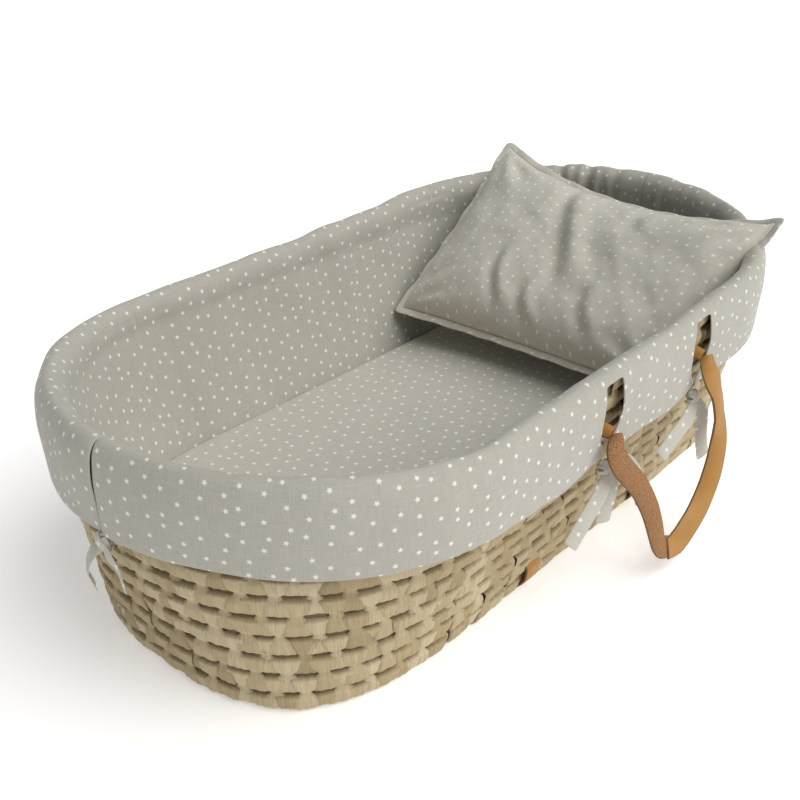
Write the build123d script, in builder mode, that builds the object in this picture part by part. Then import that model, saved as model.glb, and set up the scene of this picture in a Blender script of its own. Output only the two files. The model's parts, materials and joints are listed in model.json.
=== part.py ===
"""Moses basket: a plaited palm basket with a padded fabric cover, leather carrying straps,
a mattress and a pillow.

Millimetres. +X runs from the foot end to the head end, +Z is up, and -Y is the near side.
The origin is at the middle of the object's footprint, on the surface that it stands on.
"""

from build123d import *
from math import cos, radians, sin
import os

os.makedirs("parts", exist_ok=True)

# ---------------------------------------------------------------- driving dimensions
COVER_LENGTH = 840.0  # over the fabric cover, at its widest
COVER_WIDTH = 462.0
COVER_STRAIGHT = 0.46  # share of the half length that is straight side

RIM_LENGTH = 820.0  # palm wall at its rim
RIM_WIDTH = 442.0
BASE_LENGTH = 768.0  # palm wall just above the floor
BASE_WIDTH = 334.0
BASE_CENTRE = 13.0  # the base sits a little towards the head end
BASE_STRAIGHT = 0.48
BASE_POWER = 2.9  # squareness of the base's rounded ends; 2 is an ellipse
RIM_POWER = 2.0
FLARE_FOOT = 12.0  # height where the rounded bottom edge ends and the flare starts
FLARE_TOP = 210.0  # height where the wall has reached its rim outline
BLANK_TOP = 275.0  # top of the uncut wall

RIDGE_MIDDLE = 238.0  # top of the cover at mid length
RIDGE_TILT = 11.0  # the ridge climbs towards the head end
RIDGE_BOW = 18.0  # and towards both ends
BASKET_DROP = 12.0  # palm rim below the cover's ridge
BINDING_HEIGHT = 14.0
COURSES = 10

WALL = 12.0  # plaited palm wall
BASE_THICKNESS = 12.0
LINER = 2.5
LINER_FLOOR = 6.0
STRAP_THICKNESS = 2.6
STRAP_WIDTH = 22.0
GAP = 0.3  # fitting clearance between neighbours
LINER_INSET = WALL + STRAP_THICKNESS + 3 * GAP  # the straps run behind the liner

SKIRT = 2.0  # outer valance, double fabric
SKIRT_DROP = 81.0  # ridge to hem
LIP_DROP = 20.0  # ridge to the edge of the cover inside the basket
SLIT_WIDTH = 26.0
SLIT_TOP = 8.0  # top of each slit below the ridge
SLIT_BOTTOM = 74.0  # below it the ties draw the fabric together
CREST_REACH = 17.0  # how far the fabric's crest reaches in from its widest line

MATTRESS_TOP = 88.0
SHEET = 1.5

HANDLE_FOOT_X = -58.0  # where the carrying straps leave the cover
HANDLE_HEAD_X = 105.0
HANDLE_FOOT_Z = 185.0
HANDLE_HEAD_Z = 201.0
HINGE_Y = 237.0
HINGE_ROOM = 3.4  # between a sling's end and its handle's
SLING_FOOT_X = -90.0  # where the straps run under the base
SLING_HEAD_X = 123.0
LOWER_SLOT_Z = 36.0
SLOT_HEIGHT = 6.0


# ---------------------------------------------------------------- outlines and heights
def ridge_height(x):
    """Height of the cover's ridge at x."""
    u = x / (COVER_LENGTH / 2)
    return RIDGE_MIDDLE + RIDGE_TILT * u + RIDGE_BOW * u * u


def rim_height(x):
    """Height of the palm rim at x."""
    return ridge_height(x) - BASKET_DROP


def wall_share(z):
    """How far up its flare the wall is at height z, from 0 to 1."""
    return min(max((z - FLARE_FOOT) / (FLARE_TOP - FLARE_FOOT), 0.0), 1.0)


def between(low, high, z):
    """Value at height z of something that changes evenly up the flare."""
    return low + (high - low) * wall_share(z)


def oval(length, width, straight, power, centre):
    """Closed outline: two straight sides joined by rounded ends, for use inside BuildLine."""
    half_length = length / 2
    half_width = width / 2
    side = straight * half_length
    angles = [radians(a) for a in range(-90, 91, 15)]
    ends = []
    for angle in angles:
        reach = side + (half_length - side) * abs(cos(angle)) ** (2 / power)
        sway = half_width * (1 if angle > 0 else -1) * abs(sin(angle)) ** (2 / power)
        ends.append((reach, sway))
    ends[0] = (side, -half_width)
    ends[-1] = (side, half_width)
    head = [(centre + reach, sway) for reach, sway in ends]
    foot = [(centre - reach, -sway) for reach, sway in ends]
    Line((centre - side, -half_width), (centre + side, -half_width))
    Spline(head, tangents=[(1, 0), (-1, 0)], tangent_scalars=(1, 1))
    Line((centre + side, half_width), (centre - side, half_width))
    Spline(foot, tangents=[(-1, 0), (1, 0)], tangent_scalars=(1, 1))


def wall_section(z, inset):
    """Outline of the palm wall at height z, moved in by inset, as a sketch at that height."""
    length = between(BASE_LENGTH, RIM_LENGTH, z)
    straight_length = between(BASE_STRAIGHT * BASE_LENGTH, COVER_STRAIGHT * COVER_LENGTH, z)
    with BuildSketch(Plane.XY.offset(z)) as section:
        with BuildLine():
            oval(
                length - 2 * inset,
                between(BASE_WIDTH, RIM_WIDTH, z) - 2 * inset,
                straight_length / (length - 2 * inset),
                between(BASE_POWER, RIM_POWER, z),
                between(BASE_CENTRE, 0.0, z),
            )
        make_face()
    return section.sketch


def stack(levels):
    """Solid with flat-ruled sides through wall outlines, each given as (height, inset)."""
    with BuildPart() as blank:
        for z, inset in levels:
            add(wall_section(z, inset))
        loft(ruled=True)
    return blank.part


def wall_blank(inset, foot=None):
    """Solid inside the wall surface moved in by inset, standing on the floor."""
    foot = foot or [(0.0, inset)]
    return stack(foot + [(z, inset) for z in (FLARE_FOOT, FLARE_TOP, BLANK_TOP)])


def height_curve(share, drop):
    """Curve along the object at a share of the palm rim's height, less drop."""
    reach = COVER_LENGTH * 0.6
    xs = [-reach + reach * i / 4 for i in range(9)]
    return [(x, share * (rim_height(x) - drop)) for x in xs]


def height_band(low, high):
    """Everything between two height curves, as a solid right across the object."""
    with BuildPart() as band:
        with BuildSketch(Plane.XZ):
            with BuildLine():
                lower = Spline(low)
                upper = Spline(high)
                Line(lower @ 0, upper @ 0)
                Line(lower @ 1, upper @ 1)
            make_face()
        extrude(amount=COVER_WIDTH, both=True)
    return band.part


def write(part, name):
    part.label = name
    export_step(part, f"parts/{name}.step")


# the palm wall's outside, with a rounded bottom edge, and its inside
ROUNDED_EDGE = [(0.0, 9.0), (3.5, 3.5)]
wall_outside = wall_blank(0.0, ROUNDED_EDGE)
wall_inside = wall_blank(WALL)
liner_outside = wall_blank(LINER_INSET)
liner_inside = wall_blank(LINER_INSET + LINER)


# ---------------------------------------------------------------- leather slings
def strap_y(z, outside):
    """Distance from the middle plane to the strap's wall-side face at height z."""
    half = between(BASE_WIDTH, RIM_WIDTH, z) / 2
    return half + GAP if outside else half - WALL - GAP


def plank(x_low, z_low, x_high, z_high, outside):
    """Strap lying along the wall's near side between two heights."""
    way = 1 if outside else -1
    with BuildPart() as run:
        for x, z in ((x_low, z_low), (x_high, z_high)):
            middle = strap_y(z, outside) + way * STRAP_THICKNESS / 2
            with BuildSketch(Plane.XY.offset(z)):
                with Locations((x, -middle)):
                    Rectangle(STRAP_WIDTH, STRAP_THICKNESS)
        loft()
    return run.part


def crossing(x, z, y_outer):
    """Strap passing straight through the wall at height z."""
    y_inner = strap_y(z, False) - STRAP_THICKNESS
    with BuildPart() as run:
        with BuildSketch(Plane.XY.offset(z - STRAP_THICKNESS / 2)):
            with Locations((x, -(y_inner + y_outer) / 2)):
                Rectangle(STRAP_WIDTH, y_outer - y_inner)
        extrude(amount=STRAP_THICKNESS)
    return run.part


def sling(x_base, x_top, z_top):
    """One strap: under the base, up through both walls, and out at the two slits."""
    z_out = LOWER_SLOT_Z
    tuck = strap_y(0.0, True) - ROUNDED_EDGE[0][1] / 2
    with BuildPart() as near_half:
        with BuildSketch(Plane.XY):
            with Locations((x_base, -tuck / 2)):
                Rectangle(STRAP_WIDTH, tuck)
        extrude(amount=STRAP_THICKNESS)
        with BuildSketch(Plane.XY.offset(0.0)):
            with Locations((x_base, -tuck + STRAP_THICKNESS / 2)):
                Rectangle(STRAP_WIDTH, STRAP_THICKNESS)
        with BuildSketch(Plane.XY.offset(FLARE_FOOT)):
            with Locations((x_base, -strap_y(FLARE_FOOT, True) - STRAP_THICKNESS / 2)):
                Rectangle(STRAP_WIDTH, STRAP_THICKNESS)
        loft()
        add(plank(x_base, FLARE_FOOT, x_base, z_out + STRAP_THICKNESS / 2, True))
        add(crossing(x_base, z_out, strap_y(z_out, True) + STRAP_THICKNESS))
        add(plank(x_base, z_out - STRAP_THICKNESS / 2, x_top, z_top + STRAP_THICKNESS / 2, False))
        add(crossing(x_top, z_top, HINGE_Y - HINGE_ROOM))
    with BuildPart() as whole:
        add(near_half.part)
        mirror(near_half.part, about=Plane.XZ)
    return whole.part


slings = {
    "sling_foot": sling(SLING_FOOT_X, HANDLE_FOOT_X, HANDLE_FOOT_Z),
    "sling_head": sling(SLING_HEAD_X, HANDLE_HEAD_X, HANDLE_HEAD_Z),
}
for sling_name, sling_part in slings.items():
    write(sling_part, sling_name)


def strap_room():
    """Room that the straps need through the palm: wall slots, and grooves under the base."""
    width = STRAP_WIDTH + 2 * GAP
    slots = (
        (SLING_FOOT_X, LOWER_SLOT_Z),
        (SLING_HEAD_X, LOWER_SLOT_Z),
        (HANDLE_FOOT_X, HANDLE_FOOT_Z),
        (HANDLE_HEAD_X, HANDLE_HEAD_Z),
    )
    with BuildPart() as room:
        for x, z in slots:
            with BuildSketch(Plane.XZ.offset(0.0)):
                with Locations((x, z)):
                    Rectangle(width, SLOT_HEIGHT)
        extrude(amount=HINGE_Y, both=True)
        with BuildSketch(Plane.XY):
            for x in (SLING_FOOT_X, SLING_HEAD_X):
                with Locations((x, 0.0)):
                    Rectangle(width, BASE_WIDTH)
        extrude(amount=STRAP_THICKNESS + GAP)
    return room.part


strap_slots = strap_room()


# ---------------------------------------------------------------- palm basket
with BuildPart() as base_mat:
    add(wall_blank(WALL + GAP))
    with BuildSketch(Plane.XY):
        Rectangle(2 * COVER_LENGTH, 2 * COVER_WIDTH)
    extrude(amount=BASE_THICKNESS, mode=Mode.INTERSECT)
    add(strap_slots, mode=Mode.SUBTRACT)
write(base_mat.part, "base_mat")

for course in range(COURSES):
    floor_curve = height_curve(course / COURSES, BINDING_HEIGHT)
    top_curve = height_curve((course + 1) / COURSES, BINDING_HEIGHT)
    with BuildPart() as wall_course:
        add(wall_outside)
        add(wall_inside, mode=Mode.SUBTRACT)
        add(height_band(floor_curve, top_curve), mode=Mode.INTERSECT)
        add(strap_slots, mode=Mode.SUBTRACT)
        if course == 0:
            for strap in slings.values():
                add(strap, mode=Mode.SUBTRACT)
    write(wall_course.part, f"wall_course_{course + 1:02d}")

with BuildPart() as rim_binding:
    add(wall_blank(-1.5))
    add(wall_inside, mode=Mode.SUBTRACT)
    add(height_band(height_curve(1.0, BINDING_HEIGHT), height_curve(1.0, 0.0)), mode=Mode.INTERSECT)
write(rim_binding.part, "rim_binding")


# ---------------------------------------------------------------- fabric cover
with BuildPart() as liner_hollow:
    add(liner_inside)
    with BuildSketch(Plane.XY.offset(BASE_THICKNESS + GAP + LINER_FLOOR)):
        Rectangle(2 * COVER_LENGTH, 2 * COVER_WIDTH)
    extrude(amount=BLANK_TOP, mode=Mode.INTERSECT)

with BuildPart() as liner:
    add(liner_outside)
    add(liner_hollow.part, mode=Mode.SUBTRACT)
    add(
        height_band(
            [(x, BASE_THICKNESS + GAP) for x, _ in height_curve(1.0, 0.0)],
            height_curve(1.0, LIP_DROP + GAP - BASKET_DROP),
        ),
        mode=Mode.INTERSECT,
    )
write(liner.part, "liner")


def rim_stations(near):
    """Planes across the cover's rim from the foot end round one side to the head end."""
    half_length = COVER_LENGTH / 2
    half_width = COVER_WIDTH / 2
    side = COVER_STRAIGHT * half_length
    bend = half_length - side
    way = -1 if near else 1
    places = []
    angles = [radians(angle) for angle in (0, 6, 15, 28, 44, 60, 70, 80, 90)]
    for a in angles:
        places.append((-side - bend * cos(a), half_width * sin(a), -cos(a) / bend, sin(a) / half_width))
    for step in range(1, 8):
        places.append((-side + side * step / 4, half_width, 0.0, 1.0))
    for a in reversed(angles):
        places.append((side + bend * cos(a), half_width * sin(a), cos(a) / bend, sin(a) / half_width))
    planes = []
    for x, y, normal_x, normal_y in places:
        outward = Vector(normal_x, way * normal_y, 0).normalized()
        planes.append(
            Plane(
                origin=(x, way * y, ridge_height(x)),
                x_dir=outward,
                z_dir=outward.cross(Vector(0, 0, 1)),
            )
        )
    return planes


def skirt_profile():
    """Fabric over the rim: the valance outside, the crest, and a lip inside the basket."""
    skin = SKIRT
    outer_hem = (-3.0, -SKIRT_DROP)
    inner_hem = (-3.0 - skin, -SKIRT_DROP)
    outer = [(0, -32), (-3.2, -10), (-12, 0), (-23.5, -6.5), (-28, -LIP_DROP)]
    inner = [(-28 + skin, -LIP_DROP), (-22.0, -8.2), (-12, -skin), (-5.0, -11.2), (-skin, -32)]
    Line(outer_hem, outer[0])
    Spline(outer, tangents=[(0, 1), (0, -1)], tangent_scalars=(1, 1))
    Line(outer[-1], inner[0])
    Spline(inner, tangents=[(0, 1), (0, -1)], tangent_scalars=(1, 1))
    Line(inner[-1], inner_hem)
    Line(inner_hem, outer_hem)


def padding_profile():
    """Wadding between the cover's crest and the palm rim."""
    rest = -BASKET_DROP + 5 * GAP
    inner = -6.8
    top = [(-21.0, rest), (-19.4, -8.2), (-12.0, -SKIRT - 3 * GAP), (-5.9, -12.0), (-3.4, -32)]
    Spline(top, tangents=[(0.3, 1), (0, -1)], tangent_scalars=(1, 1))
    Line(top[-1], (inner, -32))
    Line((inner, -32), (inner, rest))
    Line((inner, rest), top[0])


def slit_cutter(x, way):
    """Upright slit through the valance alone at x, on the near (-1) or the far (1) side."""
    top = ridge_height(x) - SLIT_TOP
    bottom = ridge_height(x) - SLIT_BOTTOM
    depth = COVER_WIDTH / 2 - CREST_REACH
    with BuildPart() as cutter:
        with BuildSketch(Plane.XZ.offset(-way * depth)):
            with Locations((x, (bottom + top) / 2)):
                RectangleRounded(SLIT_WIDTH, top - bottom, SLIT_WIDTH / 3)
        extrude(amount=-way * 2 * CREST_REACH)
    return cutter.part


def around_rim(near, profile):
    """One half of the cover's rim: the profile lofted from the foot end to the head end."""
    with BuildPart() as half:
        for station in rim_stations(near):
            with BuildSketch(station):
                with BuildLine():
                    profile()
                make_face()
        loft()
    return half.part


for side_name, is_near in (("near", True), ("far", False)):
    with BuildPart() as skirt:
        add(around_rim(is_near, skirt_profile))
        for slit_x in (HANDLE_FOOT_X, HANDLE_HEAD_X):
            add(slit_cutter(slit_x, -1 if is_near else 1), mode=Mode.SUBTRACT)
    write(skirt.part, f"skirt_{side_name}")

with BuildPart() as rim_padding:
    add(around_rim(True, padding_profile))
    add(around_rim(False, padding_profile))
write(rim_padding.part, "rim_padding")


# ---------------------------------------------------------------- fabric ties
TIE_WIDTH = 15.0
TIE_THICKNESS = 1.6
KNOT = (20.0, 9.0, 12.0)


def tie(x, y, z, outward, tails):
    """Two tails and a knot, hanging just outside a point of the hem."""
    facing = Vector(outward[0], outward[1], 0).normalized()
    along = Vector(0, 0, 1).cross(facing)
    middle = Vector(x, y, z - KNOT[2] / 2 - 1.0)
    with BuildPart() as whole:
        with BuildSketch(Plane(origin=middle - Vector(0, 0, KNOT[2] / 2), x_dir=along, z_dir=(0, 0, 1))):
            RectangleRounded(KNOT[0], KNOT[1], 3.0)
        extrude(amount=KNOT[2])
        for sideways, length in tails:
            start = middle + along * (sideways * 0.12)
            end = middle + along * sideways - Vector(0, 0, length)
            for point in (start, end):
                flat = Plane(origin=point, x_dir=along, z_dir=(0, 0, -1))
                with BuildSketch(flat):
                    Rectangle(TIE_WIDTH, TIE_THICKNESS)
            loft()
    return whole.part


def hem_height(x):
    return ridge_height(x) - SKIRT_DROP


side_y = COVER_WIDTH / 2 - 1.5
end_x = COVER_LENGTH / 2 - 4.8
TIES = {
    "tie_foot_end": (-end_x, 0.0, (-1, 0), ((-14, 44), (14, 34))),
    "tie_head_end": (end_x, 0.0, (1, 0), ((-14, 44), (14, 34))),
    "tie_near_foot": (HANDLE_FOOT_X, -side_y, (0, -1), ((-34, 62), (-8, 52))),
    "tie_near_head": (HANDLE_HEAD_X, -side_y, (0, -1), ((-42, 48), (24, 78))),
    "tie_far_foot": (HANDLE_FOOT_X, side_y, (0, 1), ((34, 62), (8, 52))),
    "tie_far_head": (HANDLE_HEAD_X, side_y, (0, 1), ((42, 48), (-24, 78))),
}


# ---------------------------------------------------------------- mattress
def mattress_blank(inset, low, high, edge):
    """Mattress shape with softened edges, inset from the liner."""
    room = LINER_INSET + LINER + inset
    with BuildPart() as blank:
        add(wall_blank(room))
        add(
            stack([
                (low, room + edge),
                (low + edge / 3, room + edge / 3),
                (low + edge, room - edge / 3),
                (high - edge, room - edge / 3),
                (high - edge / 3, room + edge / 3),
                (high, room + edge),
            ]),
            mode=Mode.INTERSECT,
        )
    return blank.part


MATTRESS_BOTTOM = BASE_THICKNESS + LINER_FLOOR + 2 * GAP
SOFT_EDGE = 9.0
SHEET_HEM = 60.0  # the fitted sheet turns this far under the mattress

with BuildPart() as mattress_core:
    add(mattress_blank(SHEET + 2 * GAP, MATTRESS_BOTTOM + SHEET, MATTRESS_TOP - SHEET, SOFT_EDGE - SHEET))
write(mattress_core.part, "mattress_core")

with BuildPart() as mattress_sheet:
    add(mattress_blank(2 * GAP, MATTRESS_BOTTOM, MATTRESS_TOP, SOFT_EDGE))
    add(mattress_core.part, mode=Mode.SUBTRACT)
    add(wall_section(MATTRESS_BOTTOM, WALL + SHEET_HEM))
    extrude(amount=SHEET, mode=Mode.SUBTRACT)
write(mattress_sheet.part, "mattress_sheet")


# ---------------------------------------------------------------- pillow
PILLOW_SLOPE = 36.0  # degrees from level, leaning back on the head end
PILLOW_X = 234.0
PILLOW_Y = -10.0
PILLOW_Z = 190.0
PILLOW_EDGE = 3.0

# distance up the slope, half width, rise of the ends, depth below and above the middle
PILLOW_RIBS = (
    (-138.0, 150.0, 4.0, 6.0, 3.0),
    (-95.0, 150.0, 10.0, 44.0, 26.0),
    (-30.0, 152.0, 14.0, 58.0, 40.0),
    (45.0, 152.0, 18.0, 50.0, 38.0),
    (105.0, 146.0, 24.0, 30.0, 26.0),
    (140.0, 140.0, 24.0, 6.0, 8.0),
)


def pillow_blank(skin):
    """Pillow leaning on the head end, its surfaces moved in by skin."""
    slope = radians(PILLOW_SLOPE)
    up_slope = Vector(cos(slope), 0, sin(slope))
    facing = Vector(-sin(slope), 0, cos(slope))
    centre = Vector(PILLOW_X, PILLOW_Y, PILLOW_Z)
    reach = 1 - skin / abs(PILLOW_RIBS[0][0])
    with BuildPart() as blank:
        for distance, half_width, rise, below, above in PILLOW_RIBS:
            place = Plane(origin=centre + up_slope * (distance * reach), x_dir=(0, 1, 0), z_dir=up_slope)
            lift = 1 if place.y_dir.dot(facing) > 0 else -1
            half = half_width - skin
            thin = (PILLOW_EDGE - skin) / 2
            with BuildSketch(place):
                with BuildLine():
                    low_left = (-half, lift * (rise - thin))
                    low_right = (half, lift * (rise - thin))
                    high_left = (-half, lift * (rise + thin))
                    high_right = (half, lift * (rise + thin))
                    ThreePointArc(low_left, (0, -lift * (below - skin)), low_right)
                    Line(low_right, high_right)
                    ThreePointArc(high_right, (0, lift * (above + rise * 0.3 - skin)), high_left)
                    Line(high_left, low_left)
                make_face()
        loft()
    return blank.part


with BuildPart() as pillow_filling:
    add(pillow_blank(SHEET))
write(pillow_filling.part, "pillow_filling")

with BuildPart() as pillow_case:
    add(pillow_blank(0.0))
    add(pillow_filling.part, mode=Mode.SUBTRACT)
write(pillow_case.part, "pillow_case")


# ---------------------------------------------------------------- carrying handles
# middle of the near strap and the way its outer face looks, from one slit to the other;
# the strap is limp, so it hangs down outside, turns over at its lowest point and comes back up
FOOT_LEG = (
    ((HANDLE_FOOT_X, -HINGE_Y, HANDLE_FOOT_Z), (0, 0, 1)),
    ((-59, -240, 182), (0, -1, 0.8)),
    ((-57, -242.5, 168), (0, -1, 0.2)),
    ((-43, -245, 146), (0, -1, 0)),
    ((-22, -247, 120), (0, -1, 0)),
    ((-6, -250, 92), (0, -1, 0)),
    ((6, -252, 62), (0, -1, 0)),
    ((15, -254, 34), (0, -1, 0)),
    ((24, -255, 15), (0, -1, 0)),
)
HEAD_LEG = (
    ((20, -257.0, 13), (0, -1, 0)),
    ((52, -257.4, 12.5), (0, -1, 0)),
    ((82, -257, 18), (0, -1, 0)),
    ((106, -256, 34), (0, -1, 0)),
    ((124, -255, 62), (0.2, -1, 0)),
    ((132, -254, 98), (0.5, -1, 0)),
    ((126, -249, 138), (0.5, -1, 0)),
    ((114, -244.5, 172), (0, -1, 0.1)),
    ((107, -241, 194), (0, -1, 0.6)),
    ((HANDLE_HEAD_X, -HINGE_Y, HANDLE_HEAD_Z), (0, 0, 1)),
)


def strap_along(route):
    """Flat strap lofted through its places."""
    points = [Vector(*point) for point, _ in route]
    last = len(points) - 1
    with BuildPart() as strap:
        for i, (_, face) in enumerate(route):
            ahead = points[min(i + 1, last)] - points[max(i - 1, 0)]
            if i == 0 and route is FOOT_LEG:
                ahead = Vector(0, -1, 0)
            if i == last and route is HEAD_LEG:
                ahead = Vector(0, 1, 0)
            across = ahead.cross(Vector(*face)).normalized()
            with BuildSketch(Plane(origin=points[i], x_dir=across, z_dir=ahead)):
                Rectangle(STRAP_WIDTH, STRAP_THICKNESS)
        loft(ruled=True)
    return strap.part


with BuildPart() as near_handle:
    add(strap_along(FOOT_LEG))
    add(strap_along(HEAD_LEG))
write(near_handle.part, "near_handle")

with BuildPart() as far_handle:
    mirror(near_handle.part, about=Plane.XZ)
write(far_handle.part, "far_handle")

for tie_name, (tie_x, tie_y, tie_outward, tie_tails) in TIES.items():
    knot = tie(tie_x, tie_y, hem_height(tie_x), tie_outward, tie_tails)
    write(knot, tie_name)
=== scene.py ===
import json
import math

import bpy
import numpy as np
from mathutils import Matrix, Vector


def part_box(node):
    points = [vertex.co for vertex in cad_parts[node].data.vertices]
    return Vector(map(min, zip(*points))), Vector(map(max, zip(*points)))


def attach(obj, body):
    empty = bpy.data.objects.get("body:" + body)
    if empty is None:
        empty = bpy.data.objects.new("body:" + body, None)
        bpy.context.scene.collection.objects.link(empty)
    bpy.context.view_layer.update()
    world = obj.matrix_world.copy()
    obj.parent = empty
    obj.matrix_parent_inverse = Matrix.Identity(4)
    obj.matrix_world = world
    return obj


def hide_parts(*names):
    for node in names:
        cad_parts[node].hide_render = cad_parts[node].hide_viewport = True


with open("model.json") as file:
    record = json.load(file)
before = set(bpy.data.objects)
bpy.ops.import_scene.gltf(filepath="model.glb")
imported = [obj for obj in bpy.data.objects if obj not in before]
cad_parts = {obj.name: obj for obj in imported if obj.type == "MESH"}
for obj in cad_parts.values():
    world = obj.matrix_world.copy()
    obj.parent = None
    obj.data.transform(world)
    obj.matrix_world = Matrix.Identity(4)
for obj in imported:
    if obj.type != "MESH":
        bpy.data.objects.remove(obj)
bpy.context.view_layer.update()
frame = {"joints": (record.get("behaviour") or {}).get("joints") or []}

# ---- the frame's sizes, in metres
skirt_low, skirt_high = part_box("skirt_near")
HALF_LENGTH = skirt_high.x
HALF_WIDTH = -skirt_low.y
SIDE = 0.46 * HALF_LENGTH  # half the straight side
# the cover's crest: its height at the middle, its rise to the head end, and its rise to both ends
RIDGE_MIDDLE, RIDGE_TILT, RIDGE_BOW = 0.238, 0.011, 0.018
RIM_DROP, RIM_INSET = 0.012, 0.010  # the palm rim below the crest, and in from the cover
BINDING = 0.014  # height of the rim's binding
BASE_HALF_LENGTH = 0.384
BASE_HALF_WIDTH = 0.167
BASE_CENTRE = 0.013
BASE_SIDE = 0.48 * BASE_HALF_LENGTH
BASE_POWER = 2.9
FLARE_LOW, FLARE_HIGH = 0.012, 0.210
FLOOR_GAP = 0.0006  # the palm's least height off the floor
ROUND = 0.015  # height of the wall's rounded bottom edge
TUCK = 0.012  # and how far in it goes
COURSES = 10  # turns of the braid up the wall
ROW = 0.0212  # height of one
LINER_FACE = 0.018  # liner's inner face behind the palm wall's outer face
CLOTH_THICK = 0.0016
MATTRESS_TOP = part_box("mattress_sheet")[1].z
MATTRESS_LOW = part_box("mattress_sheet")[0].z
SLITS = [joint["pos_m"][0] for joint in frame["joints"] if joint["name"] == "near_handle_swing"]
HEAD_TIE_ASIDE = 0.009  # from the middle of the head tie's box to its slit
SLITS.append(sum(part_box("tie_near_head")[i].x for i in (0, 1)) / 2 + HEAD_TIE_ASIDE)


def ridge(x):
    u = x / HALF_LENGTH
    return RIDGE_MIDDLE + RIDGE_TILT * u + RIDGE_BOW * u * u


# ---- outlines
def quarter(half_length, half_width, side, power):
    """One quarter of an outline from the middle of a long side to the tip, even along its length."""
    turn = np.linspace(0, math.pi / 2, 300)
    x = side + (half_length - side) * np.sin(turn) ** (2 / power)
    y = half_width * np.cos(turn) ** (2 / power)
    x = np.concatenate([[0.0], x])
    y = np.concatenate([[half_width], y])
    run = np.concatenate([[0.0], np.cumsum(np.hypot(np.diff(x), np.diff(y)))])
    even = np.linspace(0, run[-1], 400)
    return np.interp(even, run, x), np.interp(even, run, y), run[-1]


class Outline:
    """Closed outline; its place p runs 0 to 1 from the middle of the near side by way of the head end."""

    def __init__(self, half_length, half_width, side, power, centre):
        self.x, self.y, length = quarter(half_length, half_width, side, power)
        self.centre = centre
        self.round = 4 * length

    def at(self, p):
        q = np.mod(np.asarray(p, float), 1.0) * 4
        part = np.minimum(np.floor(q), 3)
        share = q - part
        share = np.where(part % 2 == 0, share, 1 - share) * (len(self.x) - 1)
        steps = np.arange(len(self.x))
        x = np.interp(share, steps, self.x)
        y = np.interp(share, steps, self.y)
        head = np.where((part == 0) | (part == 1), 1.0, -1.0)
        near = np.where((part == 0) | (part == 3), -1.0, 1.0)
        return np.stack([self.centre + head * x, near * y], -1)

    def outward(self, p):
        step = 1.5e-3
        along = self.at(np.asarray(p) + step) - self.at(np.asarray(p) - step)
        out = np.stack([along[..., 1], -along[..., 0]], -1)
        return out / np.linalg.norm(out, axis=-1, keepdims=True)


cover = Outline(HALF_LENGTH, HALF_WIDTH, SIDE, 2.0, 0.0)
rim = Outline(HALF_LENGTH - RIM_INSET, HALF_WIDTH - RIM_INSET, SIDE, 2.0, 0.0)
base = Outline(BASE_HALF_LENGTH, BASE_HALF_WIDTH, BASE_SIDE, BASE_POWER, BASE_CENTRE)


def flare(z):
    return np.clip((z - FLARE_LOW) / (FLARE_HIGH - FLARE_LOW), 0, 1)


def wall_at(p, z, inset):
    """Point of the palm wall's outer face at place p and height z, moved in by inset."""
    share = flare(z)[..., None]
    flat = base.at(p) * (1 - share) + rim.at(p) * share
    out = base.outward(p) * (1 - share) + rim.outward(p) * share
    out /= np.linalg.norm(out, axis=-1, keepdims=True)
    return flat - out * np.asarray(inset)[..., None], out


def near_place(x):
    """Place p of the cover's near side at x; the far side's is 0.5 minus it."""
    return x / cover.round


# ---- soft unevenness
NOISE_REPEAT = 64


def swell(u, v, seed):
    """Smooth noise from -1 to 1 that repeats every NOISE_REPEAT units."""
    grid = np.random.default_rng(seed).uniform(-1, 1, (NOISE_REPEAT, NOISE_REPEAT))
    u, v = np.mod(u, NOISE_REPEAT), np.mod(v, NOISE_REPEAT)
    iu, iv = np.floor(u).astype(int), np.floor(v).astype(int)
    fu, fv = u - iu, v - iv
    fu, fv = fu * fu * (3 - 2 * fu), fv * fv * (3 - 2 * fv)
    corner = [[grid[(iu + a) % NOISE_REPEAT, (iv + b) % NOISE_REPEAT] for b in (0, 1)] for a in (0, 1)]
    low = corner[0][0] * (1 - fu) + corner[1][0] * fu
    high = corner[0][1] * (1 - fu) + corner[1][1] * fu
    return low * (1 - fv) + high * fv


def smooth(low, high, value):
    t = np.clip((value - low) / (high - low), 0, 1)
    return t * t * (3 - 2 * t)


# ---- lines
def curve_through(keys, steps, after=None):
    """Catmull-Rom line through the keys, with the given steps from each key to the next; after is a
    place past the last key that sets the direction there."""
    keys = np.asarray(keys, float)
    if after is None:
        after = 2 * keys[-1] - keys[-2]
    ends = np.vstack([2 * keys[0] - keys[1], keys, after])
    line = []
    for i in range(len(keys) - 1):
        a, b, c, d = ends[i:i + 4]
        for t in np.linspace(0, 1, steps, endpoint=False):
            line.append(0.5 * (2 * b + (c - a) * t + (2 * a - 5 * b + 4 * c - d) * t * t
                               + (3 * b - a - 3 * c + d) * t ** 3))
    return np.array([*line, keys[-1]])


def run_along(line):
    """Distance along a line to each of its points."""
    return np.concatenate([[0.0], np.cumsum(np.linalg.norm(np.diff(line, axis=0), axis=1))])


def strip_along(line, facing):
    """The directions across and out of a flat strip at each point of its line."""
    ahead = np.gradient(line, axis=0)
    ahead /= np.linalg.norm(ahead, axis=1, keepdims=True)
    across = np.cross(ahead, facing)
    across /= np.linalg.norm(across, axis=1, keepdims=True)
    return across, np.cross(across, ahead)


def raised(flat, z):
    """Places on the floor plan, with the heights z added."""
    return np.concatenate([flat, np.broadcast_to(z, flat.shape[:-1])[..., None]], -1)


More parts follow.
